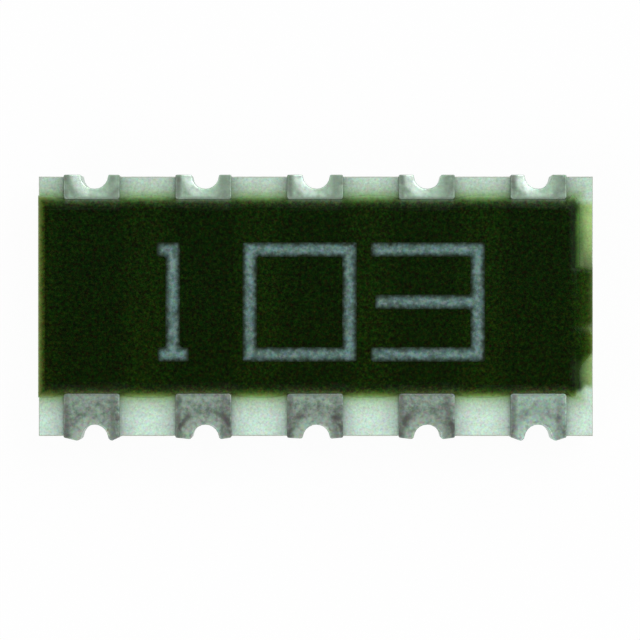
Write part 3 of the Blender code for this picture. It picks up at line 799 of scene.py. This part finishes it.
def below_glaze(graph, place):
    """What shows through the glaze: the tile, and at its rim the silver that runs out to the pads."""
    over_pad = graph.ease(graph.math('ABSOLUTE', across_pads(graph, place)), 0.29, 0.33, 1.0, 0.0)
    rim = graph.ease(from_glaze(graph, place), -0.13, -0.07)
    return graph.mix(graph.product(over_pad, rim), alumina_tone(graph, place), GLAZE_OVER_SILVER)


def glaze_body(graph, place):
    """The glaze's own colour: dark green with rusty clouds, a little lighter in the tongue."""
    x = graph.split(place)[0]
    rust = graph.noise(place, 22, roughness=0.7, shift=(2.0, 4.0, 6.0))["Fac"]
    body = graph.mix(graph.ease(rust, 0.5, 0.78), GLAZE_GREEN, GLAZE_RUST)
    return graph.vector('ADD', body, graph.mix(graph.ease(x, *STRIP_START), BLACK, GLAZE_TONGUE))


def glaze_material():
    """Dark green glass: near black where it is deep, and clearer towards its thin edges."""
    material, graph, inputs, place = new_material("dark_glaze")
    wander = graph.noise(place, 20, detail=3, roughness=0.6)["Fac"]
    depth = graph.product(glaze_depth(graph, place), graph.ease(wander, 0.25, 0.75, 0.9, 1.1))
    depth = graph.math('MAXIMUM', depth, 0.0)
    clear = graph.vector('MULTIPLY', through_glaze(graph, depth, place), below_glaze(graph, place))
    colour = graph.vector('ADD', clear, glaze_body(graph, place))
    colour = graph.speckled(colour, place, 30, graph.ease(depth, 0.028, 0.055, 0.8, 2.6))
    coarse = graph.grained(colour, place, 60, 1.8)
    colour = graph.mix(graph.ease(depth, 0.028, 0.055), colour, coarse)
    graph.feed(inputs["Base Color"], graph.vector('MAXIMUM', colour, GLAZE_DARKEST))
    graph.feed(inputs["Roughness"], graph.ease(wander, 0.3, 0.7, 0.28, 0.34))
    inputs["Specular IOR Level"].default_value = 0.07
    ripple = graph.bump(graph.noise(place, 30)["Fac"], 1.2e-6, 0.5)
    graph.feed(inputs["Normal"], ripple)
    return material


def ink_material():
    """Thin grey-blue printed ink, which lets the glaze through at its edges and where it is worn."""
    material, graph, inputs, place = new_material("marking_ink")
    cover = graph.node("ShaderNodeAttribute", attribute_name="cover").outputs["Fac"]
    worn = graph.noise(place, 18, detail=4, roughness=0.6)["Fac"]
    cloud = graph.noise(place, 8, detail=3)["Fac"]
    grain = graph.noise(place, 24, shift=(5.0, 1.0, 3.0))["Fac"]
    colour = graph.mix(graph.ease(cloud, 0.35, 0.65), INK_DARK, INK_PALE)
    colour = graph.mix(graph.ease(grain, 0.46, 0.7, 0.0, 0.6), colour, INK_PALE_GRAIN)
    colour = graph.mix(graph.ease(grain, 0.52, 0.30, 0.0, 0.6), colour, INK_DARK_GRAIN)
    colour = graph.speckled(colour, place, 26, 0.8)
    fray = graph.math('SUBTRACT', worn, 0.5)
    laid = graph.ease(graph.math('ADD', cover, fray), -0.05, 1.0)
    graph.feed(inputs["Base Color"], graph.mix(laid, INK_WORN, colour))
    graph.feed(inputs["Roughness"], graph.ease(worn, 0.3, 0.7, 0.6, 0.5))
    inputs["Specular IOR Level"].default_value = 0.15
    graph.feed(inputs["Normal"], graph.bump(worn, 2e-6, 0.4))
    return material


# Hidden films

def silver_material():
    """Fired silver paste: a grey, slightly open grain."""
    material, graph, inputs, place = new_material("fired_silver")
    grain = graph.noise(place, 70, detail=3)["Fac"]
    graph.feed(inputs["Base Color"], graph.mix(graph.ease(grain, 0.35, 0.65), SILVER_DARK, SILVER_PALE))
    inputs["Metallic"].default_value = 0.85
    graph.feed(inputs["Roughness"], graph.ease(grain, 0.3, 0.7, 0.6, 0.42))
    graph.feed(inputs["Normal"], graph.bump(grain, 1.5e-6, 0.6))
    return material


def resistor_material():
    """Black resistive film with a fine conductive fleck."""
    material, graph, inputs, place = new_material("resistive_film")
    fleck = graph.noise(place, 90)["Fac"]
    colour = graph.mix(graph.ease(fleck, 0.55, 0.75), RESISTOR_BLACK, RESISTOR_FLECK)
    graph.feed(inputs["Base Color"], colour)
    graph.feed(inputs["Roughness"], graph.ease(fleck, 0.3, 0.7, 0.45, 0.6))
    graph.feed(inputs["Normal"], graph.bump(fleck, 1.2e-6, 0.5))
    return material


def precoat_material():
    """Green glass fired over each resistor before the trim."""
    material, graph, inputs, place = new_material("green_precoat")
    cloud = graph.noise(place, 12)["Fac"]
    graph.feed(inputs["Base Color"], graph.mix(graph.ease(cloud, 0.3, 0.7), PRECOAT_DARK, PRECOAT_PALE))
    graph.feed(inputs["Roughness"], graph.ease(cloud, 0.3, 0.7, 0.2, 0.3))
    graph.feed(inputs["Normal"], graph.bump(cloud, 1.5e-6, 0.4))
    return material


def dress_films():
    """Gives the films their materials. They stay as they are in the solids."""
    looks = {
        "top_land": silver_material(),
        "bus_conductor": silver_material(),
        "bottom_land": silver_material(),
        "resistor_element": resistor_material(),
        "glass_precoat": precoat_material(),
    }
    for name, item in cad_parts.items():
        for start, material in looks.items():
            if name.startswith(start):
                item.data.materials.clear()
                item.data.materials.append(material)


# Shaping a finer copy of a solid

def open_copy(node):
    """A copy of a solid's mesh in millimetres, with its facets joined into whole flats."""
    shape = bmesh.new()
    shape.from_mesh(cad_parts[node].data)
    bmesh.ops.scale(shape, vec=(PER_MM, PER_MM, PER_MM), verts=shape.verts)
    bmesh.ops.remove_doubles(shape, verts=shape.verts, dist=WELD_MM)
    flat = math.radians(FLAT_DEGREES)
    bmesh.ops.dissolve_limit(shape, angle_limit=flat, verts=shape.verts, edges=shape.edges)
    return shape


def evenly(low, high, pitch):
    """Places that divide a span into equal parts of about the pitch, without its ends."""
    count = max(1, round((high - low) / pitch))
    return [low + (high - low) * step / count for step in range(1, count)]


def divide(shape, axis, places, wanted=None):
    """Cuts the wanted faces at each place along one axis. Places are in metres."""
    normal = Vector((0, 0, 0))
    normal[axis] = 1
    for place in places:
        level = place * PER_MM
        point = normal * level
        faces = []
        for face in shape.faces:
            if wanted and not wanted(face):
                continue
            along = [vertex.co[axis] for vertex in face.verts]
            if min(along) < level < max(along):
                faces.append(face)
        edges = {edge for face in faces for edge in face.edges}
        vertices = {vertex for face in faces for vertex in face.verts}
        geometry = list(vertices) + list(edges) + faces
        bmesh.ops.bisect_plane(shape, geom=geometry, dist=CUT_MM, plane_co=point, plane_no=normal)


def add_piece(shape, mesh, material, sharp_degrees):
    """Closes a shape in millimetres into a mesh, and adds it as a piece of the part."""
    bmesh.ops.scale(shape, vec=(1 / PER_MM,) * 3, verts=shape.verts)
    shape.to_mesh(mesh)
    shape.free()
    mesh.materials.append(material)
    mesh.shade_smooth()
    mesh.set_sharp_from_angle(angle=math.radians(sharp_degrees))
    piece = bpy.data.objects.new(mesh.name, mesh)
    bpy.context.scene.collection.objects.link(piece)
    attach(piece, "root")
    return piece


def close_copy(shape, name, material, node, sharp_degrees=SHARP_DEGREES):
    """Turns the shaped copy into a piece that stands for its solid."""
    piece = add_piece(shape, bpy.data.meshes.new(name), material, sharp_degrees)
    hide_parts(node)


# Ceramic tile

def make_tile(material):
    """The tile with its long and short edges roughened where the plate was snapped."""
    shape = open_copy("ceramic_substrate")

    def edge_face(face):
        return abs(face.normal.z) < 0.9

    for axis in range(3):
        places = evenly(TILE_LOW[axis], TILE_HIGH[axis], BREAK_DIVISION)
        divide(shape, axis, places, edge_face)
    middle = (TILE_LOW.z + TILE_HIGH.z) / 2
    half = (TILE_HIGH.z - TILE_LOW.z) / 2
    for vertex in shape.verts:
        x, y, z = vertex.co / PER_MM
        share = smooth((half - abs(z - middle)) / BREAK_FADE)
        on_end = smooth((abs(x) - TILE_HIGH.x + BREAK_DEPTH) / BREAK_EASE)
        on_side = smooth((abs(y) - TILE_EDGE_Y + BREAK_DEPTH) / BREAK_EASE)
        depth = BREAK_ROUGHNESS * share * waves(x, y, z, BREAK_SCALE) * PER_MM
        vertex.co.x -= math.copysign(depth * on_end, x)
        vertex.co.y -= math.copysign(depth * on_side, y)
    close_copy(shape, "alumina_tile", material, "ceramic_substrate", TILE_SHARP_DEGREES)


# Plated terminals

def hole_place(pin):
    """The middle of the pin's hole, a little outside the tile's edge."""
    low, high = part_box(f"terminal_{pin:02d}")
    column = round((low.x + high.x) / 2 / HOLE_PITCH)
    x = column * HOLE_PITCH + HOLE_SHIFT_X
    if pin <= PINS_PER_ROW:
        return x, -TILE_EDGE_Y - FRONT_HOLE_OUTWARD
    return x, TILE_EDGE_Y + BACK_HOLE_OUTWARD


def shoulder_relief(distance):
    """How far the plating's top sinks, against its distance from the hole's edge."""
    share = max(0.0, 1 - distance / SHOULDER_REACH)
    return -SHOULDER_DROP * share ** 2


def plating_move(vertex, pin, hole_x, hole_y):
    """How far a point of the plating moves, in metres. Only the outer skin does."""
    x, y, z = vertex.co / PER_MM
    away = math.hypot(x - hole_x, y - hole_y) - LINED_RADIUS
    on_top = z > CAP_TOP - SKIN_AT_TOP
    proud = abs(y) > TILE_EDGE_Y + SKIN_PAST_TILE
    if not (on_top or z < SKIN_AT_TOP or away < SKIN_AT_HOLE or proud):
        return Vector((0, 0, 0))
    lumps = waves(x, y, z, PLATING_LUMP_SCALE, pin)
    move = vertex.normal * (PLATING_LUMPS * 0.5 * lumps)
    if on_top:
        move.z += shoulder_relief(max(away, 0.0)) + PLATING_LUMPS * lumps
    return move


def make_terminal(pin, material):
    """One plated terminal, lumpy and rounded down towards its hole."""
    node = f"terminal_{pin:02d}"
    low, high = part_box(node)
    shape = open_copy(node)
    divide(shape, 0, evenly(low.x, high.x, PLATING_DIVISION))
    divide(shape, 1, evenly(low.y, high.y, PLATING_DIVISION))
    divide(shape, 2, evenly(low.z, high.z, PLATING_DIVISION_UP))
    hole_x, hole_y = hole_place(pin)
    shape.normal_update()
    moves = [plating_move(vertex, pin, hole_x, hole_y) * PER_MM for vertex in shape.verts]
    for vertex, move in zip(shape.verts, moves):
        vertex.co += move
    close_copy(shape, f"tin_plated_{node}", material, node)


# Glaze

def film_cover():
    """Boxes of the precoated resistors, in plan."""
    boxes = [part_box(name) for name in sorted(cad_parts) if name.startswith("glass_precoat")]
    return [(low.x, high.x, low.y, high.y) for low, high in boxes]


COVERED = film_cover()


def glaze_relief(x, y):
    """How far the glaze's top lies above its level over the films."""
    cover = 0.0
    for left, right, front, back in COVERED:
        sideways = smooth(0.5 + min(x - left, right - x) / GLAZE_DIP_EDGE)
        lengthways = smooth(0.5 + min(y - front, back - y) / GLAZE_DIP_EDGE)
        cover = max(cover, sideways * lengthways)
    return GLAZE_DIP * (cover - 1) + GLAZE_WAVE * waves(x, y, 0, GLAZE_WAVE_SCALE)


def open_glaze():
    """A finer copy of the glaze, with the steps of its rim eased into a slope."""
    shape = open_copy("overcoat")
    lowest = GLAZE_BASE * PER_MM + UPPER_START_MM

    def upper_face(face):
        return face.normal.z > UPPER_TURN and face.calc_center_median().z > lowest

    divide(shape, 0, evenly(GLAZE_LOW.x, GLAZE_HIGH.x, GLAZE_DIVISION), upper_face)
    divide(shape, 1, evenly(GLAZE_LOW.y, GLAZE_HIGH.y, GLAZE_DIVISION), upper_face)
    upper = [vertex for vertex in shape.verts if vertex.co.z > lowest]
    upper = [vertex for vertex in upper if all(face.normal.z > UPPER_TURN for face in vertex.link_faces)]
    only_up = {"use_axis_x": False, "use_axis_y": False, "use_axis_z": True}
    for easing in range(RIM_EASINGS):
        bmesh.ops.smooth_vert(shape, verts=upper, factor=0.5, **only_up)
    shape.normal_update()
    return shape


def make_glaze(material):
    """The glaze with its dips and waves, a feathered rim, and a little more reach at the pads."""
    shape = open_glaze()
    for vertex in shape.verts:
        x, y, z = vertex.co / PER_MM
        lift = z - GLAZE_BASE
        share = smooth((z - GLAZE_BASE - RELIEF_START) / RELIEF_SPAN)
        if vertex.normal.z > TOP_TURN and share > 0:
            vertex.co.z += share * glaze_relief(x, y) * PER_MM
        past_edge = y > GLAZE_BACK_Y - EDGE_CATCH or y < GLAZE_FRONT_Y + EDGE_CATCH
        on_wall = any(abs(face.normal.z) < WALL_TURN for face in vertex.link_faces)
        if RIM_FOOT < lift < RIM_STEP or (past_edge and on_wall and lift < WALL_STEP):
            vertex.co.z = (GLAZE_BASE + lift * RIM_FEATHER) * PER_MM
        across = (x - PRINT_SHIFT_X + PRINT_PITCH / 2) % PRINT_PITCH - PRINT_PITCH / 2
        at_edge = abs(y - GLAZE_BACK_Y) < EDGE_CATCH or abs(y - GLAZE_FRONT_Y) < EDGE_CATCH
        if abs(across) < PAD_REACH and at_edge:
            vertex.co.y += math.copysign(GLAZE_TO_CAP, y) * PER_MM
    close_copy(shape, "fired_glaze", material, "overcoat")


# Printed code

def rectangle(left, right, front, back):
    return [(left, front), (right, front), (right, back), (left, back)]


def figure_one():
    """A stem with a short flag at its top left and a foot."""
    stem_left = 0.585e-3
    stem_right = stem_left + INK_STROKE
    flag_left = stem_left - 0.10e-3
    foot_left = stem_left - 0.09e-3
    foot_right = stem_right + 0.10e-3
    top = INK_HEIGHT
    return [[
        (foot_left, 0), (foot_right, 0), (foot_right, INK_STROKE), (stem_right, INK_STROKE),
        (stem_right, top), (flag_left, top), (flag_left, top - INK_STROKE),
        (stem_left, top - INK_STROKE), (stem_left, INK_STROKE), (foot_left, INK_STROKE),
    ]]


def figure_zero():
    """A tall ring of square strokes."""
    outer = rectangle(0, INK_WIDTH, 0, INK_HEIGHT)
    inner = rectangle(INK_STROKE, INK_WIDTH - INK_STROKE, INK_STROKE, INK_HEIGHT - INK_STROKE)
    return [outer, inner[::-1]]


def figure_three():
    """Three bars joined by a stem down their right ends."""
    stem = INK_WIDTH - INK_STROKE
    low = INK_HEIGHT / 2 - INK_STROKE / 2
    high = low + INK_STROKE
    top = INK_HEIGHT
    inset = 0.05e-3
    return [[
        (0, 0), (INK_WIDTH, 0), (INK_WIDTH, top), (0, top), (0, top - INK_STROKE),
        (stem, top - INK_STROKE), (stem, high), (inset, high), (inset, low), (stem, low),
        (stem, INK_STROKE), (0, INK_STROKE),
    ]]


def drawn_in(corners, inset):
    """Square-cornered outline moved towards the ink by the inset."""
    moved = []
    for index, corner in enumerate(corners):
        before = corners[index - 1]
        after = corners[(index + 1) % len(corners)]
        arriving = (Vector(corner) - Vector(before)).normalized()
        leaving = (Vector(after) - Vector(corner)).normalized()
        inward = Vector((-arriving.y - leaving.y, arriving.x + leaving.x))
        moved.append(Vector(corner) + inward * inset)
    return moved


def eased(points):
    """A closed outline with each point moved towards its neighbours."""
    following = points[1:] + points[:1]
    preceding = points[-1:] + points[:-1]
    return [(before + 2 * point + after) / 4 for before, point, after in zip(preceding, points, following)]


def ragged(corners, inset, shift_x):
    """A closed outline by the corners, in short steps that wander and round off as a printed edge does."""
    inner_corners = drawn_in(corners, inset)
    points = []
    for index, (x0, y0) in enumerate(corners):
        following = (index + 1) % len(corners)
        x1, y1 = corners[following]
        outward = Vector((y1 - y0, x0 - x1)).normalized()
        steps = max(2, round(math.hypot(x1 - x0, y1 - y0) / INK_STEP))
        for step in range(steps):
            share = step / steps
            rim_x = x0 + (x1 - x0) * share + shift_x
            rim_y = y0 + (y1 - y0) * share
            wander = INK_RAGGED * waves(rim_x, rim_y, 0, INK_RAGGED_SCALE, INK_RAGGED_SEED)
            inner = inner_corners[index].lerp(inner_corners[following], share)
            points.append(inner + Vector((shift_x, INK_BOTTOM_Y)) + outward * wander)
    for easing in range(INK_EASINGS):
        points = eased(points)
    return points


def ink_levels(outlines, shift_x):
    """The film's outlines from its underside to its top, and the height of each level."""
    levels = [([ragged(corners, 0.0, shift_x) for corners in outlines], INK_GAP)]
    for level in range(INK_LEVELS + 1):
        share = level / INK_LEVELS
        loops = [ragged(corners, INK_SHOULDER * share, shift_x) for corners in outlines]
        levels.append((loops, INK_EDGE + (INK_THICKNESS - INK_EDGE) * share))
    return levels


def side_faces(levels, per_level):
    """Faces that join each level's outlines to those of the next."""
    faces = []
    for level, (loops, lift) in enumerate(levels[:-1]):
        start = level * per_level
        for loop in loops:
            count = len(loop)
            for index in range(count):
                after = (index + 1) % count
                above = start + per_level
                faces.append((start + index, start + after, above + after, above + index))
            start += count
    return faces


def filling_faces(loops, first_index, vertices, upward):
    """Triangles between one level's outlines, which face up or down."""
    flat_loops = [[Vector((point.x, point.y, 0)) for point in loop] for loop in loops]
    faces = []
    for triangle in tessellate_polygon(flat_loops):
        corners = [first_index + index for index in triangle]
        first, second, third = (Vector(vertices[corner]) for corner in corners)
        if ((second - first).cross(third - first).z > 0) != upward:
            corners.reverse()
        faces.append(tuple(corners))
    return faces


def make_figure(name, outlines, shift_x, material):
    """A thin closed film of ink that lies on the glaze, with a rounded shoulder."""
    levels = ink_levels(outlines, shift_x)
    vertices = []
    for loops, lift in levels:
        for loop in loops:
            vertices += [(point.x * PER_MM, point.y * PER_MM, lift * PER_MM) for point in loop]
    per_level = len(vertices) // len(levels)
    top_index = len(vertices) - per_level
    faces = side_faces(levels, per_level)
    faces += filling_faces(levels[0][0], 0, vertices, False)
    faces += filling_faces(levels[-1][0], top_index, vertices, True)
    mesh = bpy.data.meshes.new(name)
    mesh.from_pydata(vertices, [], faces)
    shape = bmesh.new()
    shape.from_mesh(mesh)
    divide(shape, 0, evenly(shift_x, shift_x + INK_WIDTH, INK_DIVISION))
    divide(shape, 1, evenly(INK_BOTTOM_Y, INK_BOTTOM_Y + INK_HEIGHT, INK_DIVISION))
    cover = shape.verts.layers.float.new("cover")
    for vertex in shape.verts:
        x, y, z = vertex.co / PER_MM
        vertex[cover] = max(0.0, (z - INK_EDGE) / (INK_THICKNESS - INK_EDGE))
        vertex.co.z = (GLAZE_TOP + glaze_relief(x, y) + z) * PER_MM
    add_piece(shape, mesh, material, SHARP_DEGREES)


def make_marking(material):
    """The code's three figures, side by side."""
    figures = (("figure_1", figure_one()), ("figure_0", figure_zero()), ("figure_3", figure_three()))
    for index, (name, outlines) in enumerate(figures):
        make_figure(name, outlines, INK_FIRST_X + index * INK_ADVANCE, material)


add_camera()
add_softbox("key_light", KEY_DIRECTION, KEY_RADIANCE)
add_softbox("fill_light", FILL_DIRECTION, FILL_RADIANCE)
set_world()
add_floor()
bpy.context.scene.view_settings.view_transform = 'Standard'
make_tile(ceramic_material())
for pin, tin in tin_materials().items():
    make_terminal(pin, tin)
make_glaze(glaze_material())
make_marking(ink_material())
dress_films()
